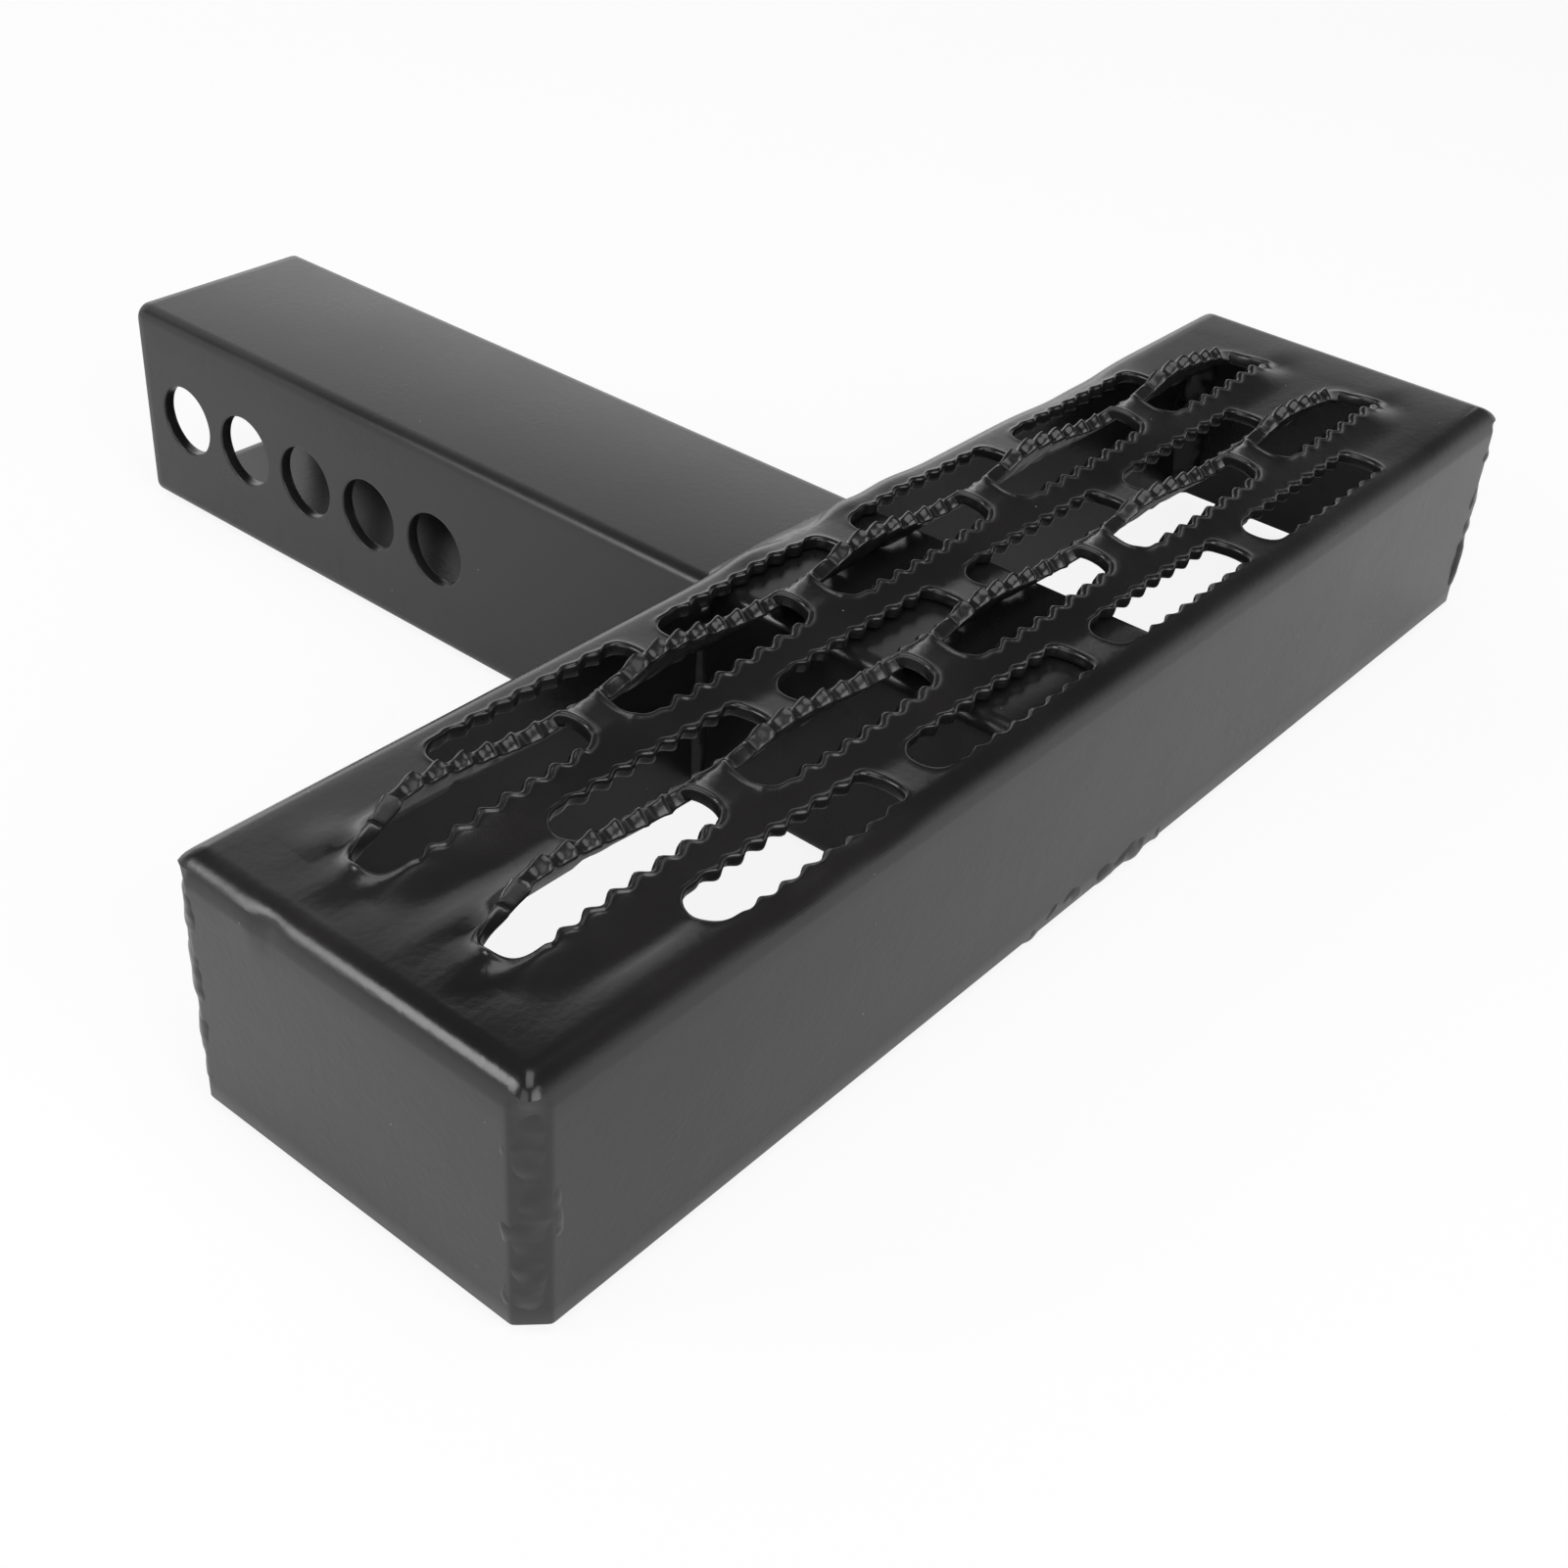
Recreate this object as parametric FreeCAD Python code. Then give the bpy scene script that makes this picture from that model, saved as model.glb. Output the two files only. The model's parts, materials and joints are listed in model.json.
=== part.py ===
import FreeCAD, Part
import math
import os

from FreeCAD import Vector

os.makedirs("parts", exist_ok=True)

# Frame: origin on the shank's underside below the tray's middle, +X along tread, +Y to vehicle, +Z up

# Shank, the square tube that goes into the receiver
SHANK = 50.0
SHANK_WALL = 3.0
SHANK_CORNER = 4.0
SHANK_BORE_CORNER = SHANK_CORNER - SHANK_WALL
SHANK_END_Y = 221.8
SHANK_MID_X = -8.0

# Pin holes through both side walls of the shank
PIN_HOLE = 17.0
PIN_FROM_END = 15.4
PIN_PITCH = 21.9
PIN_COUNT = 5

# Step tray, one folded sheet
TRAY_LENGTH = 320.0
TRAY_WIDTH = 82.0
SHEET = 2.5
FLANGE = 51.0
BEND_OUT = 5.6
BEND_IN = BEND_OUT - SHEET
TREAD_GAP = 0.3
NOTCH_GAP = 0.4
SEAM_BELOW_BEND = 2.0
FIT = 1e-6

# Heights that follow from the sizes above
SHANK_TOP = SHANK
SHEET_UNDER = SHANK_TOP + TREAD_GAP
TREAD_TOP = SHEET_UNDER + SHEET
FLANGE_BOTTOM = TREAD_TOP - FLANGE
SEAM_TOP = TREAD_TOP - BEND_OUT - SEAM_BELOW_BEND
FRONT_OUTER = -TRAY_WIDTH / 2
FRONT_INNER = FRONT_OUTER + SHEET
REAR_OUTER = TRAY_WIDTH / 2
SHANK_LEFT = SHANK_MID_X - SHANK / 2
SHANK_RIGHT = SHANK_MID_X + SHANK / 2

# Formed grating: five rows, the second and fourth raised into arched lips
PITCH = 58.0
PATTERN_X = -2.0
ROW_PITCH = 14.7
PATTERN_Y = -0.8
FLAT_IN_ROW = 4
RAISED_IN_ROW = 5

# One serrated opening, its teeth and its two ends
SLOT_LENGTH = 49.5
SLOT_WIDTH = 9.4
TEETH = 7
TOOTH_PITCH = 5.6
TOOTH_OUT = 0.4
TOOTH_IN = 0.9
TOOTH_LEAN = 0.72
TOOTH_FIRST = -SLOT_LENGTH / 2 + 7.5
NOSE_SHARE = 0.6
TIP_CUT = 1.2
TIP_SHOULDER = 3.6
END_CUT = 0.6
END_SHOULDER = 2.9

# Rise of the raised rows above the flat sheet, along each opening
SADDLE_RISE = 4.8
LIP_RISE = 5.2
LIP_PEAK = -7.5
LIP_REACH_LEFT = 18.0
LIP_REACH_RIGHT = 26.0
FRONT_RISE = 3.4
FRONT_DIP = 2.4
FRONT_LOW = -6.0
END_FADE_START = 26.0
END_FADE_NEAR = 25.0
END_FADE_FAR = 14.0

# Across a raised row: the feet where it leaves the flat, the lip lines just inside the tooth tips
FOOT_FRONT = 9.0
FOOT_REAR = 9.4
TIP_CLEAR = 0.1
LIP_LINE = SLOT_WIDTH / 2 - TOOTH_IN - TIP_CLEAR
STRIP_LENGTH = 300.0
BRIDGE_SPANS = 3
CUT_DEPTH = 30.0

# Weld beads
BEAD_SIDES = 8
BEAD_LUMP = 0.7
BEAD_STEP = 8.5
BEAD_BEAT = 2.4
BEAD_SHIFT = 1.1
CORNER_BEAD = 4.2
CORNER_PROUD = 0.4
SIDE_BEAD = 4.0
TOP_BEAD = 3.2
TOP_BEAD_IN = 1.0
FRONT_BEAD = 2.2
FRONT_BEAD_IN = 0.8
WELD_INSET = 1.0
GROUND_CLEAR = 0.1


def ease(s):
    s = min(max(s, 0.0), 1.0)
    return s * s * (3 - 2 * s)


def bell(t, peak, left, right):
    """Hump of height 1 at peak, falling to 0 over left and right."""
    reach = left if t < peak else right
    return 1.0 - ease(abs(t - peak) / reach)


def from_middle(x):
    """Distance along the row from the middle of the nearest raised opening."""
    return (x - PATTERN_X + PITCH / 2) % PITCH - PITCH / 2


def end_fade(x):
    """1 over the grating, easing to 0 at the outer ends of the raised rows."""
    reach = (RAISED_IN_ROW - 1) / 2 * PITCH + END_FADE_START
    near = ease((x - (PATTERN_X - reach)) / END_FADE_NEAR)
    far = ease((PATTERN_X + reach - x) / END_FADE_FAR)
    return near * far


def lip_height(x):
    """Height of the rear lip of the raised openings above the flat of the tread."""
    arch = bell(from_middle(x), LIP_PEAK, LIP_REACH_LEFT, LIP_REACH_RIGHT)
    return end_fade(x) * (SADDLE_RISE + LIP_RISE * arch)


def front_height(x):
    """Height of the front lip, which dips in the middle of each opening."""
    dip = bell(from_middle(x), FRONT_LOW, PITCH / 2 + FRONT_LOW, PITCH / 2 - FRONT_LOW)
    return end_fade(x) * (FRONT_RISE - FRONT_DIP * dip)


def flat_height(x):
    return 0.0


def under(height, run):
    """Underside of the sheet: its thickness measured square to the slope that climbs to height over run."""
    return height - SHEET * math.sqrt(1 + (height / run) ** 2)


def stations():
    """Where a raised row is creased across: at the tooth roots, and evenly over the bridges."""
    start = PATTERN_X - STRIP_LENGTH / 2
    end = PATTERN_X + STRIP_LENGTH / 2
    bridge = PITCH - TEETH * TOOTH_PITCH
    inside = []
    for i in range(RAISED_IN_ROW + 1):
        root = PATTERN_X + (i - (RAISED_IN_ROW - 1) / 2) * PITCH + TOOTH_FIRST
        inside += [root - bridge * k / BRIDGE_SPANS for k in range(BRIDGE_SPANS - 1, 0, -1)]
        inside += [root + k * TOOTH_PITCH for k in range(TEETH + 1)]
    return [start] + [x for x in inside if start + SHEET < x < end - SHEET] + [end]


def panel(a, b, c, d):
    """Two flat triangles across a four-cornered patch of formed sheet."""
    return [Part.Face(Part.makePolygon([a, b, c, a])), Part.Face(Part.makePolygon([a, c, d, a]))]


def formed_strip(row_y):
    """The sheet of one raised row: flat panels between the feet and the two lip lines, above and below."""
    xs = stations()
    levels = [(-FOOT_FRONT, flat_height, FOOT_FRONT), (-LIP_LINE, front_height, FOOT_FRONT - LIP_LINE),
              (LIP_LINE, lip_height, FOOT_REAR - LIP_LINE), (FOOT_REAR, flat_height, FOOT_REAR)]
    tops = []
    lows = []
    for y, height, run in levels:
        tops.append([Vector(x, row_y + y, TREAD_TOP + height(x)) for x in xs])
        lows.append([Vector(x, row_y + y, TREAD_TOP + under(height(x), run)) for x in xs])
    pairs = list(zip(tops, tops[1:])) + list(zip(lows, lows[1:]))
    pairs += [(tops[0], lows[0]), (tops[-1], lows[-1])]
    faces = []
    for a, b in pairs:
        for i in range(len(xs) - 1):
            faces += panel(a[i], a[i + 1], b[i + 1], b[i])
    for end in (0, -1):
        ring = [line[end] for line in tops] + [line[end] for line in reversed(lows)]
        faces.append(Part.Face(Part.makePolygon(ring + ring[:1])))
    shell = Part.Shell(faces)
    shell.sewShape()
    return Part.Solid(shell)


def slot_outline():
    """Outline of one serrated opening about its middle: rounded -X tip, saw teeth, blunt +X end."""
    a = SLOT_LENGTH / 2
    w = SLOT_WIDTH / 2
    rear = [(-a, 0.0), (-a + TIP_CUT, w * NOSE_SHARE), (-a + TIP_SHOULDER, w)]
    for i in range(TEETH):
        x = TOOTH_FIRST + i * TOOTH_PITCH
        rear.append((x, w + TOOTH_OUT))
        rear.append((x + TOOTH_LEAN * TOOTH_PITCH, w - TOOTH_IN))
    rear += [(a - END_SHOULDER, w), (a - END_CUT, w * NOSE_SHARE), (a, 0.0)]
    front = [(x, -y) for x, y in rear[-2:0:-1]]
    return rear + front


def slot_tool(x, y):
    points = [Vector(x + px, y + py, TREAD_TOP - CUT_DEPTH) for px, py in slot_outline()]
    return Part.Face(Part.makePolygon(points + points[:1])).extrude(Vector(0, 0, 2 * CUT_DEPTH))


def row_tools(row, count):
    y = PATTERN_Y + row * ROW_PITCH
    return [slot_tool(PATTERN_X + (i - (count - 1) / 2) * PITCH, y) for i in range(count)]


def rounded_block(length, width, bottom, top, radius):
    """Block about the Z axis with its four top edges and its four upright edges rounded."""
    block = Part.makeBox(length, width, top - bottom, Vector(-length / 2, -width / 2, bottom))
    rounded = [e for e in block.Edges if e.BoundBox.ZMax > top - FIT]
    return block.makeFillet(radius, rounded)


def folded_tray():
    outer = rounded_block(TRAY_LENGTH, TRAY_WIDTH, FLANGE_BOTTOM, TREAD_TOP, BEND_OUT)
    inner = rounded_block(TRAY_LENGTH - 2 * SHEET, TRAY_WIDTH - 2 * SHEET, FLANGE_BOTTOM - SHEET,
                          SHEET_UNDER, BEND_IN)
    return outer.cut(inner)


def corner_seams():
    """Open seams at the four upright corners, below the bends, that the corner welds fill."""
    seams = []
    for sx in (-1, 1):
        for sy in (-1, 1):
            x = sx * TRAY_LENGTH / 2 - (BEND_OUT if sx > 0 else 0)
            y = sy * TRAY_WIDTH / 2 - (BEND_OUT if sy > 0 else 0)
            corner = Vector(x, y, FLANGE_BOTTOM - SHEET)
            seams.append(Part.makeBox(BEND_OUT, BEND_OUT, SEAM_TOP - corner.z, corner))
    return seams


def shank_notch():
    """Cut-out of the rear flange that the shank passes through."""
    low = FLANGE_BOTTOM - SHEET
    return Part.makeBox(SHANK + 2 * NOTCH_GAP, TRAY_WIDTH / 2, SHEET_UNDER - low,
                        Vector(SHANK_LEFT - NOTCH_GAP, TRAY_WIDTH / 4, low))


def step_tray():
    gaps = []
    for row in (-1, 1):
        y = PATTERN_Y + row * ROW_PITCH - FOOT_FRONT
        corner = Vector(PATTERN_X - STRIP_LENGTH / 2, y, TREAD_TOP - CUT_DEPTH / 2)
        gaps.append(Part.makeBox(STRIP_LENGTH, FOOT_FRONT + FOOT_REAR, CUT_DEPTH, corner))
    flat_rows = row_tools(-2, FLAT_IN_ROW) + row_tools(0, FLAT_IN_ROW) + row_tools(2, FLAT_IN_ROW)
    tray = folded_tray().cut([shank_notch()] + corner_seams() + gaps + flat_rows)
    front = formed_strip(PATTERN_Y - ROW_PITCH).cut(row_tools(-1, RAISED_IN_ROW))
    rear = front.copy()
    rear.translate(Vector(0, 2 * ROW_PITCH, 0))
    return tray.fuse([front, rear])


def square_bar(size, corner, start, run):
    side = Part.makeBox(size, run, size, Vector(SHANK_MID_X - size / 2, start, SHANK / 2 - size / 2))
    along = [e for e in side.Edges if abs(e.BoundBox.YLength - run) < FIT]
    return side.makeFillet(corner, along)


def front_bevel():
    """Bevel of the shank's front top edge, clear of the inside of the tray's front bend."""
    x = SHANK_LEFT - SHEET
    high = SHANK_TOP + SHEET
    back = FRONT_INNER + BEND_IN
    low = Vector(x, FRONT_INNER, SHANK_TOP - BEND_IN)
    ring = [low, Vector(x, FRONT_INNER, high), Vector(x, back, high), Vector(x, back, SHANK_TOP)]
    return Part.Face(Part.makePolygon(ring + ring[:1])).extrude(Vector(SHANK + 2 * SHEET, 0, 0))


def shank_tube():
    length = SHANK_END_Y - FRONT_INNER
    bore = square_bar(SHANK - 2 * SHANK_WALL, SHANK_BORE_CORNER, FRONT_INNER - SHEET, length + 2 * SHEET)
    cuts = [bore, front_bevel()]
    for i in range(PIN_COUNT):
        y = SHANK_END_Y - PIN_FROM_END - i * PIN_PITCH
        cuts.append(Part.makeCylinder(PIN_HOLE / 2, 2 * SHANK, Vector(SHANK_MID_X - SHANK, y, SHANK / 2),
                                      Vector(1, 0, 0)))
    return square_bar(SHANK, SHANK_CORNER, FRONT_INNER, length).cut(cuts)


def bead(start, end, radius, index):
    """Lumpy weld bead from start to end: flat-sided links that swell and thin along the seam."""
    path = end.sub(start)
    count = max(3, int(round(path.Length / BEAD_STEP)))
    axis = Vector(path).normalize()
    side = axis.cross(Vector(1, 1, 1)).normalize()
    turn = FreeCAD.Rotation(axis, 360.0 / BEAD_SIDES)
    rings = []
    for i in range(count + 1):
        swell = radius + BEAD_LUMP * math.sin(BEAD_BEAT * i + BEAD_SHIFT * index)
        centre = start.add(Vector(path).multiply(i / count))
        arm = Vector(side).multiply(swell)
        ring = []
        for k in range(BEAD_SIDES):
            ring.append(centre.add(arm))
            arm = turn.multVec(arm)
        rings.append(ring + ring[:1])
    faces = [Part.Face(Part.makePolygon(rings[0])), Part.Face(Part.makePolygon(rings[-1]))]
    for a, b in zip(rings, rings[1:]):
        for k in range(BEAD_SIDES):
            faces.append(Part.Face(Part.makePolygon([a[k], a[k + 1], b[k + 1], b[k], a[k]])))
    shell = Part.Shell(faces)
    shell.sewShape()
    return Part.Solid(shell)


def save(name, shape):
    """Saves a body; crumbs that a cut leaves on the hidden side of a seam are trimmed off it."""
    solids = sorted(shape.Solids, key=lambda solid: -solid.Volume)
    shape = solids[0]
    shape.exportStep("parts/" + name + ".step")
    print(name, "solids", len(solids), "valid", shape.isValid(), "volume", round(shape.Volume))


tray = step_tray()
shank = shank_tube()
save("step_tray", tray)
save("shank_tube", shank)

# Welds down the four corners of the tray
CORNER_WELDS = (("weld_front_near", -1, -1), ("weld_rear_near", -1, 1), ("weld_front_far", 1, -1),
                ("weld_rear_far", 1, 1))
for index, (name, sx, sy) in enumerate(CORNER_WELDS):
    x = sx * (TRAY_LENGTH / 2 - CORNER_BEAD + CORNER_PROUD)
    y = sy * (TRAY_WIDTH / 2 - CORNER_BEAD + CORNER_PROUD)
    rope = bead(Vector(x, y, FLANGE_BOTTOM + WELD_INSET), Vector(x, y, SEAM_TOP), CORNER_BEAD, index)
    save(name, rope.cut(tray))

# Welds between the rear flange and the shank: up both sides, and across the top
for index, (name, x) in enumerate((("weld_shank_left", SHANK_LEFT), ("weld_shank_right", SHANK_RIGHT))):
    low = Vector(x, REAR_OUTER, FLANGE_BOTTOM)
    rope = bead(low, Vector(x, REAR_OUTER, SHANK_TOP - SHANK_CORNER), SIDE_BEAD, index)
    save(name, rope.cut([tray, shank]))
left = Vector(SHANK_LEFT + SHANK_CORNER, REAR_OUTER - TOP_BEAD_IN, SHANK_TOP)
rope = bead(left, Vector(SHANK_RIGHT - SHANK_CORNER, left.y, SHANK_TOP), TOP_BEAD, 1)
save("weld_shank_top", rope.cut([tray, shank]))

# Weld between the front flange and the shank's front end, ground clear of the underside
left = Vector(SHANK_LEFT + WELD_INSET, FRONT_OUTER + FRONT_BEAD_IN, FLANGE_BOTTOM)
rope = bead(left, Vector(SHANK_RIGHT - WELD_INSET, left.y, FLANGE_BOTTOM), FRONT_BEAD, 2)
corner = Vector(SHANK_LEFT - SHANK / 2, left.y - SHANK / 2, GROUND_CLEAR - SHANK)
ground = Part.makeBox(2 * SHANK, SHANK, SHANK, corner)
save("weld_shank_front", rope.cut([tray, shank, ground]))
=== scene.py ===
import json
import math

import bmesh
import bpy
import numpy as np
from mathutils import Matrix, Vector


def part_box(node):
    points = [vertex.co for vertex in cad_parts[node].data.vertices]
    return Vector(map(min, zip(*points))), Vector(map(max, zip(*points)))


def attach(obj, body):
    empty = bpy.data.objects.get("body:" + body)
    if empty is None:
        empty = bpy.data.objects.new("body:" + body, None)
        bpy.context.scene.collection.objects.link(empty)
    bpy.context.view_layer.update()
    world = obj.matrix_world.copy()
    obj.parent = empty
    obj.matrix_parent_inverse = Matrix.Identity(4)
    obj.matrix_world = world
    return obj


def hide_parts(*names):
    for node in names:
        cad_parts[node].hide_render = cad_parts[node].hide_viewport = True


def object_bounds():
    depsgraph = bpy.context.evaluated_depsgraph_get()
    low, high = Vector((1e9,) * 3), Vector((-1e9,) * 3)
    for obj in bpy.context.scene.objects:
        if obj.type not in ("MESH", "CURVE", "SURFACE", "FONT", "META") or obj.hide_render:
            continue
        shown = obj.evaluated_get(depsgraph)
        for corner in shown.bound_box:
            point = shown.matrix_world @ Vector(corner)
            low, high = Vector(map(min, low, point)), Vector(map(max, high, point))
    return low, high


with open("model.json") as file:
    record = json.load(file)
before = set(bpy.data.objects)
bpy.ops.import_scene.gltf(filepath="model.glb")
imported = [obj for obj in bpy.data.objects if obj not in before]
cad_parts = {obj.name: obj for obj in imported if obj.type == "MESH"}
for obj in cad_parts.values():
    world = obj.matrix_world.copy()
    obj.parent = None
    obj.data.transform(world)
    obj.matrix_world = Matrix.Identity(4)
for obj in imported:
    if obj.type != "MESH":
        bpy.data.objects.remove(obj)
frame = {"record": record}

bl_info = {
    "name": "Receiver step",
    "version": (1, 0, 0),
    "blender": (4, 5, 0),
    "location": "3D View > Sidebar > Step",
    "description": "Dresses a welded receiver step: cold formed tread sheet, square shank and weld beads",
    "category": "Mesh",
}

MM = 0.001
BODY = "root"
CAD_BOX = [list(corner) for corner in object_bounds()]
TRAY_LOW, TRAY_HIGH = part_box("step_tray")
SHANK_LOW, SHANK_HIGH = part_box("shank_tube")
MOUNTS = {mount["name"]: mount["pos_m"] for mount in frame["record"]["mounts"]}
TRAY_TOP = MOUNTS["tread"][2]
PINS_Y = sorted(place[1] for name, place in MOUNTS.items() if name.startswith("pin_hole"))


def mm(name, text, value, low=0.0, high=500.0):
    """A length property, given in millimetres and kept in metres."""
    return bpy.props.FloatProperty(name=name, description=text, default=value * MM, min=low * MM, max=high * MM,
                                   unit="LENGTH", precision=5)


def number(name, text, value, **limits):
    """A plain number property."""
    return bpy.props.FloatProperty(name=name, description=text, default=value, **limits)


def hex_colour(name, text, value):
    """A colour property, written as an sRGB hex value."""
    return bpy.props.StringProperty(name=name, description=text, default=value, maxlen=7)


class STEP_PG_tread(bpy.types.PropertyGroup):
    sheet: mm("Sheet", "Thickness of the folded sheet", 2.5)
    bend: mm("Bend", "Outside radius of the folds", 5.6)
    corner_cut: mm("Corner cut", "Gap of the flanges at each vertical corner", 4.5)
    pitch: mm("Pitch", "Distance between openings along a row", 58.0)
    row_pitch: mm("Row pitch", "Distance between rows", 14.7)
    middle_x: mm("Pattern X", "Middle of the pattern along X", -2.0, -50)
    middle_y: mm("Pattern Y", "Middle of the pattern along Y", -0.8, -50)
    slot_length: mm("Opening length", "Length of one opening", 49.5)
    slot_width: mm("Opening width", "Width of one opening", 9.4)
    tooth_pitch: mm("Tooth pitch", "Distance between teeth along an edge", 5.5)
    tooth_out: mm("Scallop", "How far a scallop cuts outside the edge", 0.42)
    tooth_in: mm("Tooth", "How far a tooth stands into the opening", 0.8)
    tooth_start: mm("First tooth", "From the opening's end to its first crest", 10.9)
    round: mm("Round", "Rounding of the punched edges on top", 0.85)
    edge: mm("Edge", "Rounding of the punched edges below", 0.4)
    knot: mm("Knot", "Swelling of the sheet at each tooth", 0.5)
    rim: mm("Rim", "Height of a punched edge above the sheet", 0.45)
    lip_back: mm("Lip back", "How far forming opens a raised one to the rear", 1.2)
    draw: number("Draw", "Share of the wave left on a drawn rear lip", 0.4, min=0, max=1)
    lip_in: mm("Lip in", "How far forming closes a raised one in front", 0.5)
    saddle: mm("Saddle", "Rise of the bridges between raised openings", 5.0)
    lip: mm("Lip", "Further rise of the rear lip at its peak", 4.4)
    front_rise: mm("Front lip", "Rise of the front lip at the bridges", 3.8)
    front_dip: mm("Front dip", "Dip of the front lip between bridges", 0.8)
    foot_front: mm("Front foot", "Reach of a raised row to the front", 12.5)
    foot_rear: mm("Rear foot", "Reach of a raised row to the rear", 10.6)
    teeth: bpy.props.IntProperty(name="Teeth", description="Teeth along each edge", default=7, min=1, max=20)


class STEP_PG_shank(bpy.types.PropertyGroup):
    wall: mm("Wall", "Wall of the square tube", 3.0)
    corner: mm("Corner", "Outside corner radius of the tube", 3.4)
    hole: mm("Pin hole", "Diameter of the pin holes", 17.0)
    hole_pitch: mm("Pin pitch", "Distance between pin holes", 21.9)
    edge: mm("Edge", "Rounding of the cut ends and hole rims", 0.5)


class STEP_PG_weld(bpy.types.PropertyGroup):
    lump: mm("Lump", "How much a bead swells and thins", 0.8)
    ripple: mm("Ripple", "Height of the fine ripples", 0.03)
    ripple_pitch: mm("Ripple pitch", "Distance between ripples", 2.3)
    step: mm("Step", "Length of mesh along a bead", 0.55)
    sides: bpy.props.IntProperty(name="Sides", description="Sides of a bead's section", default=36, min=8)


class STEP_PG_coat(bpy.types.PropertyGroup):
    dark: hex_colour("Dark", "Coat where it lies thickest", "#1C1B1B")
    light: hex_colour("Light", "Coat where it lies thin", "#242223")
    speck: hex_colour("Speck", "Dust caught in the coat", "#8C8A88")
    rough: number("Roughness", "Roughness of the satin coat", 0.29, min=0, max=1)
    grain: mm("Grain", "Spacing of the orange peel", 1.4)


class STEP_PG_stage(bpy.types.PropertyGroup):
    white: hex_colour("White", "Floor and backdrop", "#FFFFFF")
    lens: number("Lens", "Focal length on a 36 mm sensor", 49.007, min=10, unit="CAMERA")
    roll: number("Roll", "Camera roll in degrees", 4.211)
    top: number("Top", "Watts of the lamp overhead", 6.5, min=0)
    key: number("Key", "Watts of the lamp behind the left end", 3.6, min=0)
    side: number("Side", "Watts of the lamp beyond the left end", 5.0, min=0)
    back: number("Back", "Watts of the broad lamp at the back", 4.5, min=0)
    fill: number("Fill", "Watts of the lamp in front", 11.5, min=0)
    sky: number("Sky", "Strength of the studio's light from all round", 0.15, min=0)
    floor_glow: number("Floor glow", "Share of plain white the camera sees in the floor", 0.88, min=0, max=1)
    floor_shine: number("Floor shine", "Share of plain white in its reflections", 0.1, min=0, max=1)


# ---------- materials

def linear(text):
    """Linear colour of an sRGB hex value."""
    parts = [int(text[i:i + 2], 16) / 255 for i in (1, 3, 5)]
    return [c / 12.92 if c <= 0.04045 else ((c + 0.055) / 1.055) ** 2.4 for c in parts] + [1.0]


def add(tree, kind, settings=None, **links):
    """Adds a node, sets its properties and inputs, and links the inputs given as sockets."""
    node = tree.nodes.new(kind)
    for name, value in (settings or {}).items():
        setattr(node, name, value)
    for name, value in links.items():
        socket = node.inputs[int(name[1:])] if name[0] == "_" else node.inputs[name.replace("_", " ")]
        if isinstance(value, bpy.types.NodeSocket):
            tree.links.new(value, socket)
        else:
            socket.default_value = value
    return node


def empty_tree(owner):
    """Node tree of a material or world, emptied."""
    owner.use_nodes = True
    owner.node_tree.nodes.clear()
    return owner.node_tree


def math_node(tree, kind, a, b=0.0, c=0.0):
    return add(tree, "ShaderNodeMath", {"operation": kind}, _0=a, _1=b, _2=c).outputs[0]


def ramp(tree, value, low, dark, high, light):
    """Colour that runs from dark at low to light at high."""
    node = add(tree, "ShaderNodeValToRGB", Fac=value)
    for element, place, colour in zip(node.color_ramp.elements, (low, high), (dark, light)):
        element.position = place
        element.color = colour
    return node.outputs["Color"]


# Sizes of the coat's patterns: change of tone, shallow swells, dust and wipe marks, all in millimetres
TONE_LENGTH, SWELL_LENGTH, DUST_SPACING, WIPE_WIDTH = 45, 11, 9, 2.2
# Radii of a mote of dust, as shares of the spacing, and how far roughness strays either way
MOTE_HEART, MOTE_RIM, ROUGH_SPREAD = 0.014, 0.024, 0.06


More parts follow.
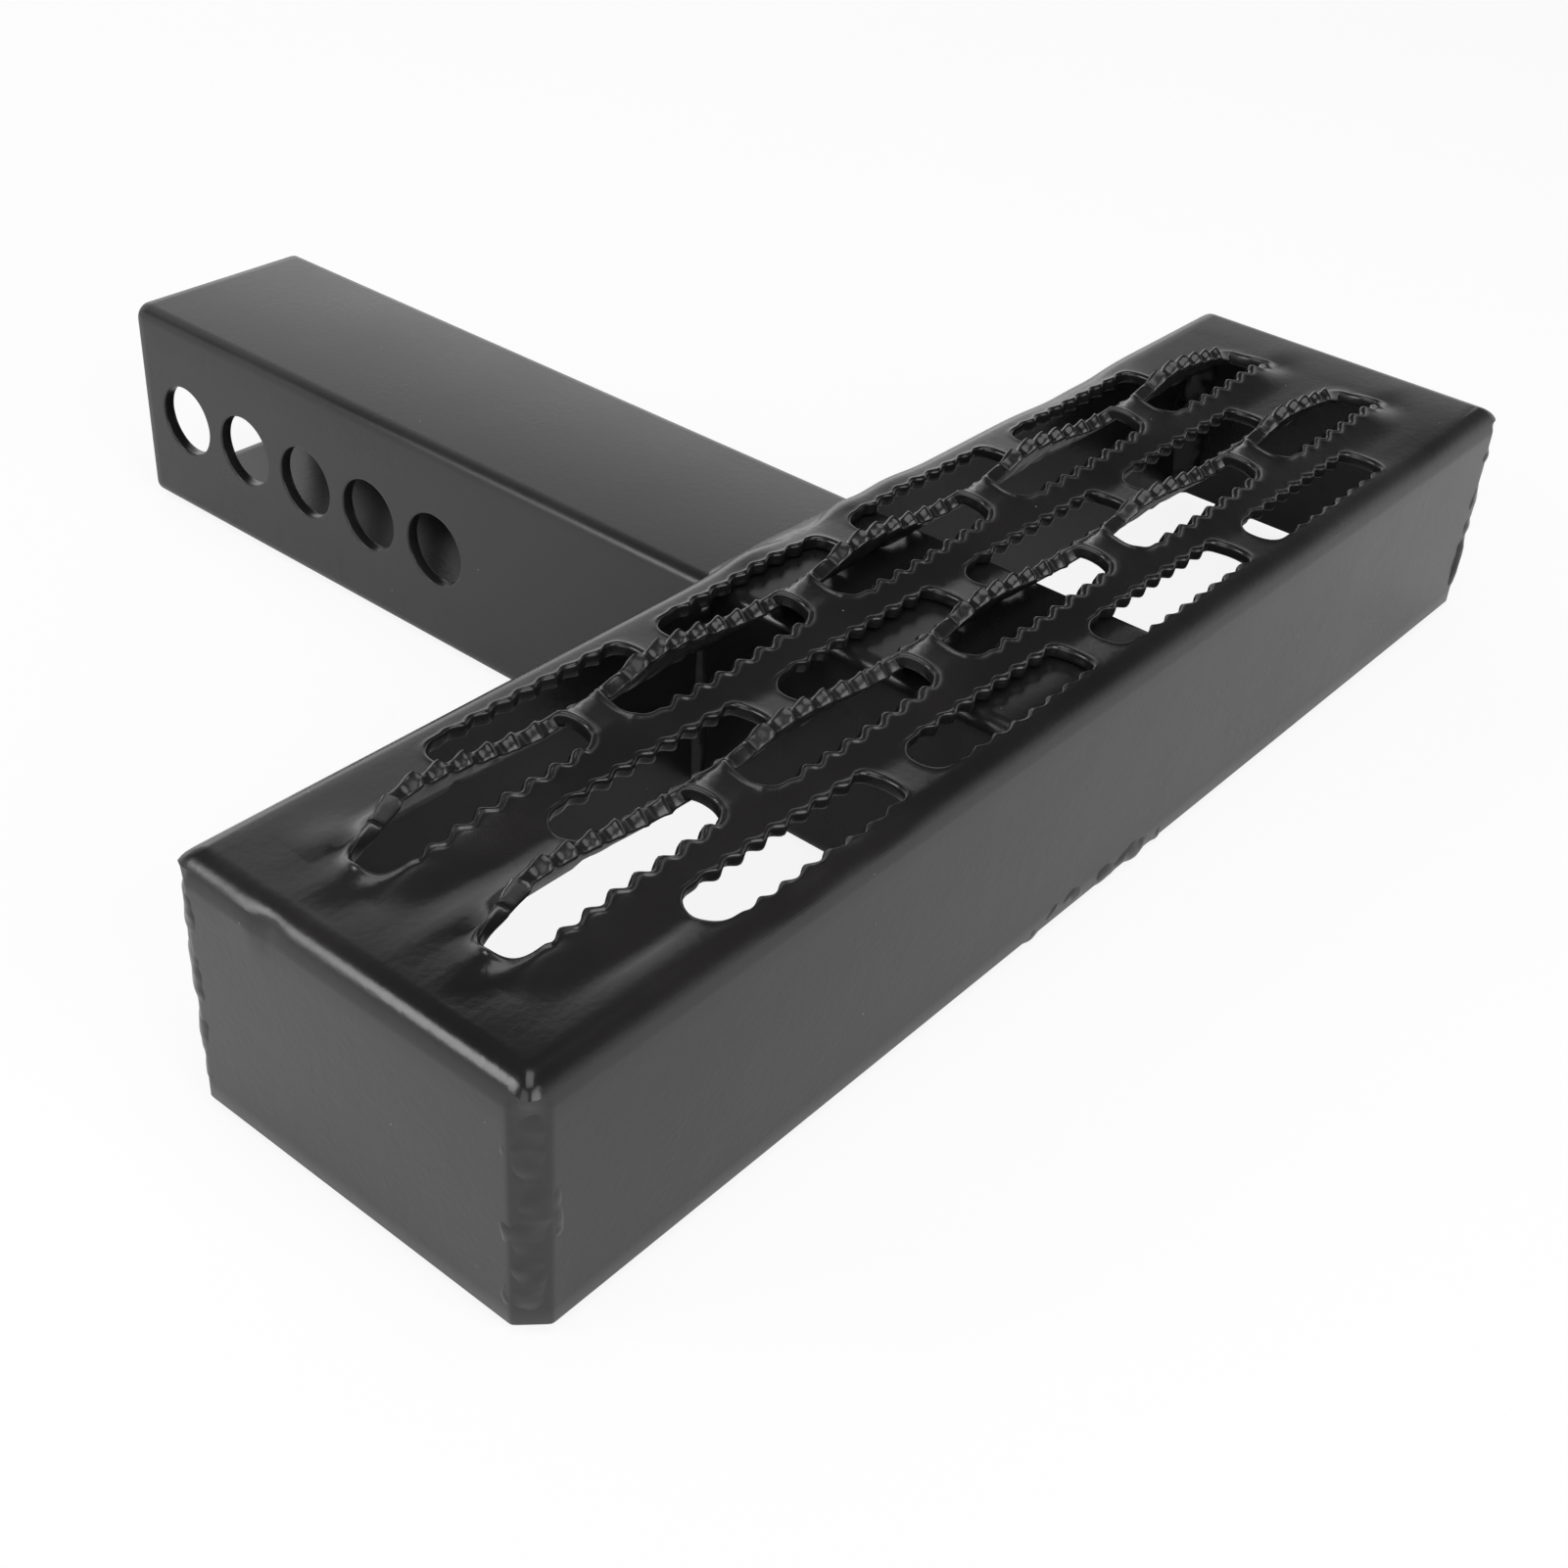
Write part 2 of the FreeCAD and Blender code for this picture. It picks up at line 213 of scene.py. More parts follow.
def powder_coat(name, peel_depth, lump_depth, shine):
    """Satin black polyester powder coat on steel: near black, softly glossy, with a fine orange peel that
    breaks up its highlights, a slow drift of tone and a few specks of dust baked in. Depths are in millimetres,
    and shine is how much smoother it is than the coat's own roughness."""
    coat = bpy.context.scene.step_coat
    material = bpy.data.materials.new(name)
    tree = empty_tree(material)
    place = add(tree, "ShaderNodeTexCoord").outputs["Object"]

    def noise(at, length, detail):
        return add(tree, "ShaderNodeTexNoise", Vector=at, Scale=1 / length, Detail=detail).outputs["Fac"]

    drift = noise(place, TONE_LENGTH * MM, 3.0)
    dust = add(tree, "ShaderNodeTexVoronoi", Vector=place, Scale=1 / (DUST_SPACING * MM))
    tone = ramp(tree, drift, 0.35, linear(coat.dark), 0.68, linear(coat.light))
    mote = ramp(tree, dust.outputs["Distance"], MOTE_HEART, (0.7, 0.7, 0.7, 1), MOTE_RIM, (0, 0, 0, 1))
    colour = add(tree, "ShaderNodeMix", {"data_type": "RGBA"}, _0=mote, _6=tone, _7=linear(coat.speck))
    wiped = add(tree, "ShaderNodeMapping", Vector=place, Scale=(1.0, 1.0, 0.06)).outputs["Vector"]
    uneven = add(tree, "ShaderNodeMix", _0=0.15, _2=drift, _3=noise(wiped, WIPE_WIDTH * MM, 2.0))
    rough = add(tree, "ShaderNodeMapRange", Value=uneven.outputs[0], From_Min=0.3, From_Max=0.7,
                To_Min=coat.rough - shine - ROUGH_SPREAD, To_Max=coat.rough - shine + ROUGH_SPREAD)
    fine = add(tree, "ShaderNodeBump", Height=noise(place, coat.grain, 2.0), Distance=peel_depth * MM,
               Strength=0.6)
    broad = add(tree, "ShaderNodeBump", Height=noise(place, SWELL_LENGTH * MM, 2.0), Distance=lump_depth * MM,
                Strength=0.6, Normal=fine.outputs["Normal"])
    surface = add(tree, "ShaderNodeBsdfPrincipled", Base_Color=colour.outputs[2],
                  Roughness=rough.outputs["Result"], IOR=1.5, Normal=broad.outputs["Normal"])
    add(tree, "ShaderNodeOutputMaterial", Surface=surface.outputs["BSDF"])
    return material


# ---------- mesh helpers

def new_object(name, data):
    """Object in the scene that holds a mesh, lamp or camera."""
    obj = bpy.data.objects.new(name, data)
    bpy.context.collection.objects.link(obj)
    return obj


def new_piece(name, verts, faces, material, replaced, sharp):
    """Makes a piece of vertices and faces that close once its seams are welded."""
    mesh = bpy.data.meshes.new(name)
    mesh.from_pydata([tuple(v) for v in verts], [], [tuple(f) for f in faces])
    finish_piece(name, mesh, material, replaced, sharp, weld=2e-6)


def finish_piece(name, mesh, material, replaced, sharp, weld):
    """Makes a mesh into a piece that rides on the body and stands for the CAD nodes named. Vertices within weld
    are joined, and edges sharper than so many degrees stay sharp."""
    obj = new_object(name, mesh)
    mesh.name = name
    bm = bmesh.new()
    bm.from_mesh(mesh)
    bmesh.ops.remove_doubles(bm, verts=bm.verts, dist=weld)
    bmesh.ops.recalc_face_normals(bm, faces=bm.faces)
    bm.to_mesh(mesh)
    bm.free()
    mesh.materials.clear()
    mesh.materials.append(material)
    mesh.shade_smooth()
    mesh.set_sharp_from_angle(angle=math.radians(sharp))
    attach(obj, BODY)
    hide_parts(*replaced)


def smooth(s):
    """Eases from 0 to 1 as s does."""
    s = np.clip(s, 0.0, 1.0)
    return s * s * (3 - 2 * s)


def band(base, n, rows, keep=None):
    """Quads between successive rings of n vertices, all or those that keep says."""
    return [(base + k * n + i, base + k * n + (i + 1) % n, base + k * n + n + (i + 1) % n, base + k * n + n + i)
            for k in range(rows - 1) for i in range(n) if keep is None or keep(k, i)]


# Rings of a plate round its opening: share of the way to the border, share of the knot, share of the rim
TOP_RINGS = ((1, 0, 0), (0.45, 0, 0), (0.21, 0.15, 0.12), (0.1, 0.5, 0.5), (0.035, 0.85, 0.88), (0, 1, 1))
UNDER_RINGS = ((0, 0.6), (0.2, 0.2), (1, 0))


def plate_cell(outline, border, thick, edge, low, crest=None, knot=0.0, rim=0.0):
    """Flat plate with one opening. Rings of points run from the border to the opening on top, up to a rim,
    round the punched edge, rounded by edge on top and low below, and back. At a crest the sheet swells by knot."""
    outline = np.array(outline)
    border = np.array(border)
    crest = np.zeros(len(outline)) if crest is None else np.array(crest)
    out = border - outline
    out /= np.linalg.norm(out, axis=1)[:, None]
    swell = (out.T * crest).T * knot
    start, under = outline + out * edge, outline + out * low
    rings = []
    for share, grow, lift in TOP_RINGS:
        rings.append((start + (border - start) * share, knot * grow * crest + rim * lift))
    for turn in (22.5, 45.0, 67.5, 90.0):
        side, up = math.sin(math.radians(turn)), math.cos(math.radians(turn))
        rings.append((outline + out * edge * (1 - side) - swell * 0.4 * side,
                      rim - edge * (1 - up) + knot * crest))
    rings.append((outline - swell * 0.8, np.full(len(outline), -(thick + edge - low) / 2)))
    for turn in (90.0, 45.0):
        side, up = math.sin(math.radians(turn)), math.cos(math.radians(turn))
        rings.append((outline + out * low * (1 - side) - swell * 0.2 * side,
                      -thick + low * (1 - up) - 0.6 * knot * crest))
    for share, grow in UNDER_RINGS:
        rings.append((under + (border - under) * share, -thick - knot * grow * crest))
    verts = []
    for flat, depth in rings:
        depth = np.broadcast_to(depth, len(outline))
        verts += [(x, y, z) for (x, y), z in zip(flat, depth)]
    return verts, band(0, len(outline), len(rings))


def cell_border(pitch, low, high, nx, ny):
    """Border of a cell from low in front to high behind, clockwise from the middle of its -X side, with nx steps
    along it and ny across."""
    h, quarter = pitch / 2, ny // 2
    points = [(-h, high * i / quarter) for i in range(quarter)]
    points += [(-h + pitch * i / nx, high) for i in range(nx)]
    points += [(h, high * (1 - i / quarter)) for i in range(quarter)]
    points += [(h, -low * i / quarter) for i in range(quarter)]
    points += [(h - pitch * i / nx, -low) for i in range(nx)]
    points += [(-h, -low * (1 - i / quarter)) for i in range(quarter)]
    return points


def plain_plate(xs, ys, thick):
    """Flat plate over a grid, top and underside only: its sides join its neighbours."""
    verts, faces = [], []
    for z in (0.0, -thick):
        base = len(verts)
        verts += [(x, y, z) for y in ys for x in xs]
        for j in range(len(ys) - 1):
            for i in range(len(xs) - 1):
                a = base + j * len(xs) + i
                faces.append((a, a + 1, a + len(xs) + 1, a + len(xs)))
    return verts, faces


def append(verts, faces, more):
    """Adds another mesh's vertices and faces to a mesh's."""
    base = len(verts)
    verts += more[0]
    faces += [tuple(base + i for i in f) for f in more[1]]


def zipper(faces, first, second, key_a, key_b):
    """Joins two chains of vertices with triangles, taking whichever comes next along the seam."""
    i = j = 0
    while i < len(first) - 1 or j < len(second) - 1:
        if j == len(second) - 1 or (i < len(first) - 1 and key_a[i + 1] <= key_b[j + 1]):
            faces.append((first[i], second[j], first[i + 1]))
            i += 1
        else:
            faces.append((first[i], second[j], second[j + 1]))
            j += 1


# ---------- row of openings, by Geometry Nodes

def new_tree(name, **inputs):
    """New Geometry Nodes tree with the inputs named, each with its kind of socket, and a mesh as its output."""
    tree = bpy.data.node_groups.new(name, "GeometryNodeTree")
    for socket, kind in inputs.items():
        tree.interface.new_socket(socket.replace("_", " "), in_out="INPUT", socket_type="NodeSocket" + kind)
    tree.interface.new_socket("Mesh", in_out="OUTPUT", socket_type="NodeSocketGeometry")
    return tree


def end_tree(tree, node, given):
    """Realises what a node gives, sets its material and puts it out."""
    real = add(tree, "GeometryNodeRealizeInstances", Geometry=node.outputs[0])
    coated = add(tree, "GeometryNodeSetMaterial", Geometry=real.outputs[0], Material=given["Material"])
    add(tree, "NodeGroupOutput", Mesh=coated.outputs[0])


def row_tree():
    """Geometry Nodes tree that repeats a cell along a row, realised."""
    tree = new_tree("row_of_cells", Cell="Object", Count="Int", Start="Vector", Step="Vector", Material="Material")
    given = add(tree, "NodeGroupInput").outputs
    line = add(tree, "GeometryNodeMeshLine", {"mode": "OFFSET"}, Count=given["Count"],
               Start_Location=given["Start"], Offset=given["Step"])
    cell = add(tree, "GeometryNodeObjectInfo", Object=given["Cell"])
    placed = add(tree, "GeometryNodeInstanceOnPoints", Points=line.outputs[0], Instance=cell.outputs["Geometry"])
    end_tree(tree, placed, given)
    return tree


def run_tree(tree, values):
    """Runs a Geometry Nodes tree on a throw-away object and returns the plain mesh it makes."""
    obj = new_object("work", bpy.data.meshes.new("work"))
    modifier = obj.modifiers.new("tree", "NODES")
    modifier.node_group = tree
    for item in tree.interface.items_tree:
        if item.in_out == "INPUT" and item.name in values:
            modifier[item.identifier] = values[item.name]
    graph = bpy.context.evaluated_depsgraph_get()
    mesh = bpy.data.meshes.new_from_object(obj.evaluated_get(graph), depsgraph=graph)
    bpy.data.objects.remove(obj)
    return mesh


def repeat(tree, cell, count, start, step, material):
    """Cell repeated along a row, as lists of vertices and faces."""
    mesh = bpy.data.meshes.new("cell")
    mesh.from_pydata(cell[0], [], cell[1])
    source = new_object("cell", mesh)
    result = run_tree(tree, {"Cell": source, "Count": count, "Start": start, "Step": step, "Material": material})
    verts = [tuple(v.co) for v in result.vertices]
    faces = [tuple(p.vertices) for p in result.polygons]
    bpy.data.objects.remove(source)
    return verts, faces


# ---------- tread sheet

# Openings in a raised row, and the rows, counted from the middle one
OPENINGS, ROWS = 5, range(-2, 3)
# Points of mesh along a cell and across it, over a tooth, before the first tooth and round a -X end
NX, NY = 92, 8
TOOTH_AT = (-0.5, -0.4, -0.3, -0.2, -0.1, 0.0, 0.1, 0.2, 0.3, 0.4)
LEAD_IN, CAP_LEFT = 8, 12
# Millimetres: length of an opening's -X end, of the first one's and of the +X end, how much shorter the last
# one's rear edge is, and what stays straight past the teeth and before a +X end
LEFT_END, FIRST_END, RIGHT_END, LAST_SHORT, PAST_TEETH, BEFORE_END = 4.6, 6.6, 4.3, 6.0, 0.2, 0.3
# Shares: how far to the front the last one's tip lies, depth of a flat one's teeth, and swelling of the sheet at
# the front teeth of a raised one and at a flat row
LAST_TIP, FLAT_DRAW, FRONT_KNOT, FLAT_PRESSED = 0.45, 0.8, 0.3, 0.35
# From the middle of the front row to the pattern's front border, in millimetres
FRONT_MARGIN = 5.8


def slot_outline(t, raised, at="inner"):
    """Outline of an opening and its swelling at each point, clockwise from the middle of the -X end. Forming opens
    a raised one to the rear, draws those teeth flat and rounds its +X end. Its -X end is pulled to a corner at
    the rear, but stays round at the first in a row. The last tapers to the front."""
    a, w = t.slot_length / 2, t.slot_width / 2
    first = -a + t.tooth_start - t.tooth_pitch / 2
    last = first + t.teeth * t.tooth_pitch
    left = -a + (FIRST_END if at == "first" else LEFT_END) * MM
    right = a - RIGHT_END * MM if raised else last + PAST_TEETH * MM
    short, tip = (LAST_SHORT * MM, -LAST_TIP * w) if at == "last" else (0.0, 0.0)
    blunt = 1.0 if raised else 0.8
    rear = front = (0.0, 1.0, FLAT_DRAW)
    if raised:
        rear, front = (t.lip_back, 1.0 if at == "first" else 0.6, t.draw), (-t.lip_in, 1.0, 1.0)
    halves = []
    for (grow, corner, draw), end, middle in ((rear, right - short, tip), (front, right, -tip)):
        half = []
        wide = w + grow
        for i in range(CAP_LEFT):
            angle = math.pi / 2 * i / CAP_LEFT
            half.append((left - (left + a) * math.cos(angle) ** corner,
                         wide * math.sin(angle) ** (0.9 * corner), 0.0))
        for i in range(LEAD_IN):
            f = i / LEAD_IN
            half.append((left + (first - left) * f, wide + t.tooth_out * float(smooth((f - 0.4) / 0.6)), 0.0))
        for tooth in range(t.teeth):
            for p in TOOTH_AT:
                crest = 0.5 + 0.5 * math.cos(2 * math.pi * p)
                x = first + (tooth + p + 0.5) * t.tooth_pitch
                y = wide + (t.tooth_out - (t.tooth_out + t.tooth_in) * crest) * draw
                knot = crest ** 2 if p <= 0 else max(0.0, 1 - p / 0.25) ** 2
                knot *= 1.0 if draw < 1 else FRONT_KNOT
                if x < end - BEFORE_END * MM:
                    half.append((x, y, knot))
        cap_right = NX + NY - len(half)
        for i in range(cap_right):
            angle = math.pi / 2 * (1 - i / cap_right)
            half.append((end + (a - end) * math.cos(angle),
                         middle + (wide - middle) * math.sin(angle) ** blunt, 0.0))
        halves.append(half)
    return halves[0] + [(a, tip, 0.0)] + [(x, -y, c) for x, y, c in halves[1][:0:-1]]


# Millimetres: how far to the -X side of an opening's middle the rear lip peaks and the front lip dips, the
# peak's reach to either side, and inset and length of the climb at each end of a row
PEAK, DIP, PEAK_REACH = 9, 6, (17, 30)
FAR_CLIMB, FRONT_CLIMB, REAR_CLIMB = (3, 14), (3, 28), (5.5, 12.5)
# Millimetres from the lips' edges to the slope between them, and the front row's share of height
FRONT_IN, REAR_IN, FRONT_ROW = 0.8, 1.0, 0.88


def raised_heights(t, x):
    """Heights of the front and rear lips of a raised row at x. The rear lip starts steeply at the -X end."""
    half, peak, low = t.pitch / 2, PEAK * MM, DIP * MM
    d = (x - t.middle_x + half) % t.pitch - half
    arch = 1 - smooth(np.abs(d + peak) / np.where(d < -peak, PEAK_REACH[0] * MM, PEAK_REACH[1] * MM))
    dip = 1 - smooth(np.abs(d + low) / np.where(d < -low, half - low, half + low))
    start, end = t.middle_x - OPENINGS / 2 * t.pitch, t.middle_x + OPENINGS / 2 * t.pitch
    far = smooth((end - FAR_CLIMB[0] * MM - x) / (FAR_CLIMB[1] * MM))
    front, rear = (far * smooth((x - start - inset * MM) / (length * MM))
                   for inset, length in (FRONT_CLIMB, REAR_CLIMB))
    return front * (t.front_rise - t.front_dip * dip), rear * (t.saddle + t.lip * arch)


def flank(lip, s):
    """Height up the flank of a raised row, from 0 at its foot to the lip's height where s is 1."""
    return lip * s ** 2 * (1.8 - 0.8 * s)


def forming(t, x, y):
    """Height that the press raises the sheet at a place on it."""
    height = np.zeros_like(x)
    lips = raised_heights(t, x)
    near = t.slot_width / 2 - t.lip_in - FRONT_IN * MM
    line = t.slot_width / 2 + t.lip_back - REAR_IN * MM
    for row, share in ((-1, FRONT_ROW), (1, 1.0)):
        d = y - t.middle_y - row * t.row_pitch
        front, rear = lips[0] * share, lips[1] * share
        climb = np.clip((d + t.foot_front) / (t.foot_front - near), 0, 1)
        fall = np.clip((t.foot_rear - d) / (t.foot_rear - line), 0, 1)
        between = front + (rear - front) * smooth((d + near) / (near + line))
        height += np.where(d < -near, flank(front, climb), np.where(d > line, flank(rear, fall), between))
    return height


# Dents and bulges that hammering and weld heat left: place, reach along X and Y, height, all in millimetres
DENTS = (
    (-77, -36, 7, 4, -1.0), (-100, -37, 9, 4, -0.9), (-161.0, 17, 2.2, 1.8, -0.65), (-161.5, 22, 2.0, 4, 0.25),
    (-22, 38, 7, 5, 0.9), (-4, 40, 9, 4, -0.6), (8, 39, 6, 5, 1.0), (23, 38, 9, 5, 0.9),
    (87, 38, 12, 5, -0.9), (103, 37, 8, 5, -0.8),
    (-143.5, 14, 3.2, 3.5, 1.6), (-143.5, -15.6, 3.2, 3.5, 1.6), (-148.5, 12, 4, 5, -0.6),
    (-148.5, -17.5, 4, 5, -0.6), (-137, 6.5, 5, 3, 0.8), (-137, -23, 5, 3, 0.8), (-149, 24, 4, 6, -0.4),
    (-128, 11.5, 9, 2.5, 0.5), (-141, 24, 7, 4, 0.5), (-141, -5, 7, 3, 0.4),
    (-124, -30, 13, 1.9, -0.7), (-124, -0.5, 12, 1.9, -0.7), (-124, -24, 9, 3, 0.3), (-122, 6, 9, 3, 0.3),
    (146, 12, 4, 4, 0.6), (146, -17, 4, 4, 0.6), (60, -37, 14, 4, -0.3), (120, -36, 16, 4, -0.3),
)


def worn(x, y):
    """Small rise or fall of the sheet by its dents and its unevenness."""
    height = np.zeros_like(x)
    for at_x, at_y, reach_x, reach_y, rise in DENTS:
        square = ((x / MM - at_x) / reach_x) ** 2 + ((y / MM - at_y) / reach_y) ** 2
        height += rise * MM * np.exp(-square)
    return height


# Vertical corners: how squarely the fold turns them and how sharply the flanges end at the cut, as powers, and
# how far out one gives way to the other and over how much, in fold radii
TURN_POWER, CUT_POWER, CUT_FROM, CUT_OVER = 4.5, 30, 1.1, 0.45


def folded(t, x, y):
    """Place on the folded tray of a place on its flat sheet, before thickness."""
    inner_x, inner_y = TRAY_HIGH.x - t.bend, TRAY_HIGH.y - t.bend
    cx, cy = np.clip(x, -inner_x, inner_x), np.clip(y, -inner_y, inner_y)
    dx, dy = x - cx, y - cy
    far = np.hypot(dx, dy)
    safe = np.where(far > 0, far, 1.0)
    nx, ny = dx / safe, dy / safe
    wide, deep = np.abs(nx), np.abs(ny)
    mitred = (wide ** TURN_POWER + deep ** TURN_POWER) ** (-1 / TURN_POWER)
    longer, slant = np.maximum(wide, deep), (wide + deep) / (2 - t.corner_cut / t.bend)
    cut = (longer ** CUT_POWER + slant ** CUT_POWER) ** (-1 / CUT_POWER)
    reach = mitred + (cut - mitred) * smooth((far / t.bend - CUT_FROM) / CUT_OVER)
    reach = np.where(far > 0, reach, 1.0)
    nx, ny = nx * reach, ny * reach
    angle = np.minimum(far / t.bend, math.pi / 2)
    drop = t.bend * (1 - np.cos(angle)) + np.maximum(far - t.bend * math.pi / 2, 0)
    dents = worn(x, y)
    rise = (forming(t, x, y) + dents) * np.cos(angle)
    out = t.bend * np.sin(angle) + dents * np.sin(angle)
    return np.stack([cx + nx * out, cy + ny * out, TRAY_TOP - drop + rise], axis=-1)


def form_sheet(t, flat):
    """Folds and presses points of the flat plate; each point's depth is kept square to the sheet."""
    x, y, depth = flat[:, 0], flat[:, 1], flat[:, 2]
    nudge = 0.03 * MM
    along = folded(t, x + nudge, y) - folded(t, x - nudge, y)
    across = folded(t, x, y + nudge) - folded(t, x, y - nudge)
    normal = np.cross(along, across)
    normal /= np.linalg.norm(normal, axis=1)[:, None]
    return folded(t, x, y) + normal * depth[:, None]


# Sides of the tray, and the turns round a corner, in degrees
FRONT, RIGHT, REAR, LEFT, CORNER = range(5)
TURNS = (4, 8, 10.5, 13, 20, 32, 45, 58, 70, 77, 79.5, 82, 86)
# Millimetres: distance between the skirt's points, gap between shank and notch, and how far out from the fold
# corners the skirt starts in front and at the rear; then its rows down a flange
SKIRT_STEP, NOTCH_GAP, SKIRT_FRONT, SKIRT_REAR, FLANGE_ROWS = 2.2, 0.4, 1.4, 1.2, 12


def perimeter(t):
    """Points round the tray: fold corner, outward direction, where the skirt starts, and side. Then the notch."""
    ix, iy = TRAY_HIGH.x - t.bend, TRAY_HIGH.y - t.bend
    front_start, rear_start = SKIRT_FRONT * MM, SKIRT_REAR * MM
    notch = (SHANK_LOW.x - NOTCH_GAP * MM, SHANK_HIGH.x + NOTCH_GAP * MM)

    def spread(a, b):
        return list(np.linspace(a, b, max(2, int(abs(b - a) / (SKIRT_STEP * MM))) + 1))

    def corner(cx, cy, base, start, end):
        for a in np.radians(TURNS):
            f = a / (math.pi / 2)
            direction = (math.cos(base + a), math.sin(base + a))
            points.append(((cx, cy), direction, start + (end - start) * f, CORNER))

    points = [((x, -iy), (0.0, -1.0), front_start, FRONT) for x in spread(-ix, ix)]
    corner(ix, -iy, -math.pi / 2, front_start, 0)
    points += [((ix, y), (1.0, 0.0), 0.0, RIGHT) for y in spread(-iy, iy)]
    corner(ix, iy, 0, 0, rear_start)
    rear = spread(ix, notch[1]) + spread(notch[1], notch[0])[1:] + spread(notch[0], -ix)[1:]
    points += [((x, iy), (0.0, 1.0), rear_start, REAR) for x in rear]
    corner(-ix, iy, math.pi / 2, rear_start, 0)
    points += [((-ix, y), (-1.0, 0.0), 0.0, LEFT) for y in spread(iy, -iy)]
    corner(-ix, -iy, math.pi, 0, front_start)
    return points, notch


def skirt(t, verts, faces, loop, spans):
    """Margin, folds and flanges round the pattern, top and underside, with the rear notch for the shank."""
    points, notch = perimeter(t)
    n = len(points)
    starts = np.array([start for _, _, start, _ in points])
    quarter = t.bend * math.pi / 2
    notch_turn = math.acos(1 - t.sheet / t.bend) / (math.pi / 2)
    arcs = list(np.linspace(0, 1, 9))
    arcs = sorted(arcs[:6] + [notch_turn] + arcs[7:])
    notch_ring = arcs.index(notch_turn)
    flange = TRAY_TOP - t.bend - TRAY_LOW.z
    downs = list(quarter + np.linspace(0, flange - t.edge, FLANGE_ROWS + 1)[1:])

    def ring(reach, depth):
        """Points round the tray, at one reach out from the fold corners or at each its own."""
        return [(cx + nx * r, cy + ny * r, depth)
                for ((cx, cy), (nx, ny), _, _), r in zip(points, np.broadcast_to(reach, n))]

    layers = []
    for depth in (0.0, -t.sheet):
        fold = [ring(quarter * a if a == notch_turn else starts + (quarter - starts) * a, depth) for a in arcs]
        layers.append(fold + [ring(r, depth) for r in downs])
    foot = [ring(downs[-1] + extra, depth) for extra, depth in (
        (t.edge * 0.7, -t.edge * 0.3), (t.edge, -t.edge), (t.edge, -t.sheet + t.edge),
        (t.edge * 0.7, -t.sheet + t.edge * 0.3))]
    stack = layers[0] + foot + layers[1][::-1]
    base = len(verts)
    for row in stack:
        verts += row
    inside = [side == REAR and notch[0] - 1e-9 <= c[0] <= notch[1] + 1e-9 for c, _, _, side in points]
    low, high = notch_ring, len(stack) - 1 - notch_ring
    faces += band(base, n, len(stack), lambda k, i: not (low <= k < high and inside[i] and inside[(i + 1) % n]))
    # The notch's top edge and its two ends
    ids = [i for i in range(n) if inside[i]]
    for i, j in zip(ids, ids[1:]):
        faces.append((base + low * n + i, base + low * n + j, base + high * n + j, base + high * n + i))
    for i in (ids[0], ids[-1]):
        for k in range(low, len(stack) // 2 - 1):
            m = len(stack) - 1 - k
            faces.append((base + k * n + i, base + (k + 1) * n + i, base + (m - 1) * n + i, base + m * n + i))
    for depth, row in ((0.0, 0), (-t.sheet, len(stack) - 1)):
        zip_margin(verts, faces, points, base + row * n, loop, spans, depth)


def zip_margin(verts, faces, points, ring, loop, spans, depth):
    """Joins the skirt's first ring to the border of the pattern, side by side."""
    base = len(verts)
    verts += [(x, y, depth) for x, y in loop]
    corners = spans + [len(loop)]
    sides = [[i for i, p in enumerate(points) if p[3] == s] for s in range(4)]
    for s, (axis, sign) in enumerate(((0, 1), (1, 1), (0, -1), (1, -1))):
        turn = corners[s + 1] % len(loop)
        fine = list(range(corners[s], corners[s + 1])) + [turn]
        coarse = sides[s]
        key_a = [sign * loop[i][axis] for i in fine]
        key_b = [sign * points[i][0][axis] for i in coarse]
        zipper(faces, [base + i for i in fine], [ring + i for i in coarse], key_a, key_b)
        after = sides[(s + 1) % 4][0]
        chain = [coarse[-1]] + [i for i in range(coarse[-1] + 1, len(points)) if points[i][3] == CORNER
                                and (i < after or after == 0)] + [after]
        for a, b in zip(chain, chain[1:]):
            faces.append((base + turn, ring + a, ring + b))


def row_places(middle, low, high):
    """Places across a row, from low in front of its middle to high behind it."""
    quarter = NY // 2
    return ([middle - low * (1 - i / quarter) for i in range(quarter)]
            + [middle + high * i / quarter for i in range(quarter + 1)])


def pattern_border(t, low, high):
    """Fine border of the pattern, counter-clockwise from its front left corner, and where each side starts."""
    across = NX * OPENINGS
    left = t.middle_x - OPENINGS / 2 * t.pitch
    xs = [left + i * (t.pitch / NX) for i in range(across + 1)]
    ys = []
    for row in ROWS:
        down = low if row == ROWS[0] else t.row_pitch / 2
        up = high if row == ROWS[-1] else t.row_pitch / 2
        ys = ys[:-1] + row_places(t.middle_y + row * t.row_pitch, down, up)
    loop = [(x, ys[0]) for x in xs[:-1]] + [(xs[-1], y) for y in ys[:-1]]
    loop += [(x, ys[-1]) for x in xs[:0:-1]] + [(xs[0], y) for y in ys[:0:-1]]
    return loop, [0, across, across + len(ys) - 1, 2 * across + len(ys) - 1]


